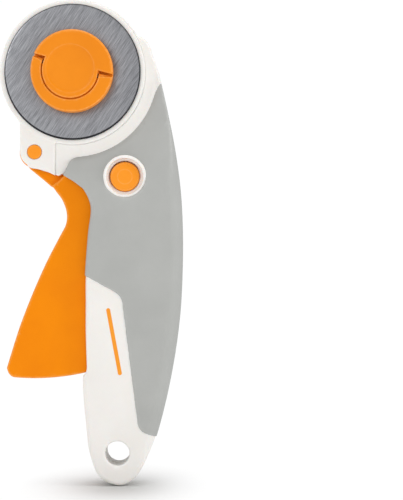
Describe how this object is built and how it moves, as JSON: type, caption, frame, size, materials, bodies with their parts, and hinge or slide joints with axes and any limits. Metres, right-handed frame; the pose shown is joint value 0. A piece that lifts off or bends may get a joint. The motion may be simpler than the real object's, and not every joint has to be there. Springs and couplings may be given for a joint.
{
  "type": "rotary fabric cutter",
  "caption": "Rotary fabric cutter with a round steel blade, orange quick-release knob, squeeze trigger, cross-bolt lock button and curved two-tone handle with a hang hole.",
  "frame": {"origin": "on the blade axis, on the flat rest pad behind the head", "axes": "+Z runs from the tail up the handle to the head, +Y points out of the back, so the blade and knob face -Y, and +X points to the spine side of the handle as seen from the blade face"},
  "size_m": [0.0604, 0.0217, 0.1612],
  "materials": {
    "white_plastic": "satin moulded plastic",
    "grey_grip": "soft matte overmould",
    "orange_plastic": "satin moulded plastic",
    "trigger_plastic": "satin moulded plastic",
    "blade_steel": "brushed, ground edge",
    "hardware_steel": "dark plated",
    "nut_brass": "turned"
  },
  "bodies": {
    "handle": {"front_shell": "white_plastic", "rear_shell": "white_plastic", "front_grip": "grey_grip", "rear_grip": "grey_grip", "guard": "white_plastic", "trigger_pivot_pin": "orange_plastic", "guard_screw_1": "hardware_steel", "guard_screw_2": "hardware_steel", "guard_screw_3": "hardware_steel", "shell_screw_1": "hardware_steel", "shell_screw_2": "hardware_steel", "shell_screw_3": "hardware_steel", "shell_screw_4": "hardware_steel", "shell_screw_5": "hardware_steel"},
    "trigger_unit": {"trigger": "trigger_plastic", "blade_carrier": "hardware_steel", "carrier_screw_1": "hardware_steel", "carrier_screw_2": "hardware_steel", "arbor": "blade_steel", "arbor_screw": "hardware_steel", "trigger_return_spring": "blade_steel"},
    "blade_disc": {"blade": "blade_steel"},
    "knob_unit": {"knob": "orange_plastic", "knob_nut": "nut_brass", "blade_washer": "hardware_steel", "bail_pin_left": "blade_steel", "bail_pin_right": "blade_steel"},
    "bail": {"knob_bail": "orange_plastic"},
    "lock": {"lock_button": "orange_plastic", "lock_button_clip": "blade_steel"}
  },
  "joints": [
    {"name": "trigger_squeeze", "type": "hinge", "parent": "handle", "child": "trigger_unit", "pos_m": [-0.01262, -0.0095, -0.0264], "axis": [0, -1, 0], "range_deg": [0, 15]},
    {"name": "blade_spin", "type": "hinge", "parent": "trigger_unit", "child": "blade_disc", "pos_m": [0, -0.01665, 0], "axis": [0, -1, 0], "continuous": true},
    {"name": "knob_turn", "type": "hinge", "parent": "trigger_unit", "child": "knob_unit", "pos_m": [0, -0.0195, 0], "axis": [0, -1, 0], "range_deg": [0, 90]},
    {"name": "bail_flip", "type": "hinge", "parent": "knob_unit", "child": "bail", "pos_m": [0.00014, -0.0201, 0.00053], "axis": [-0.9659, 0, 0.2588], "range_deg": [0, 90]},
    {"name": "lock_slide", "type": "slide", "parent": "handle", "child": "lock", "axis": [0, 1, 0], "range_m": [0, 0.0022]}
  ]
}
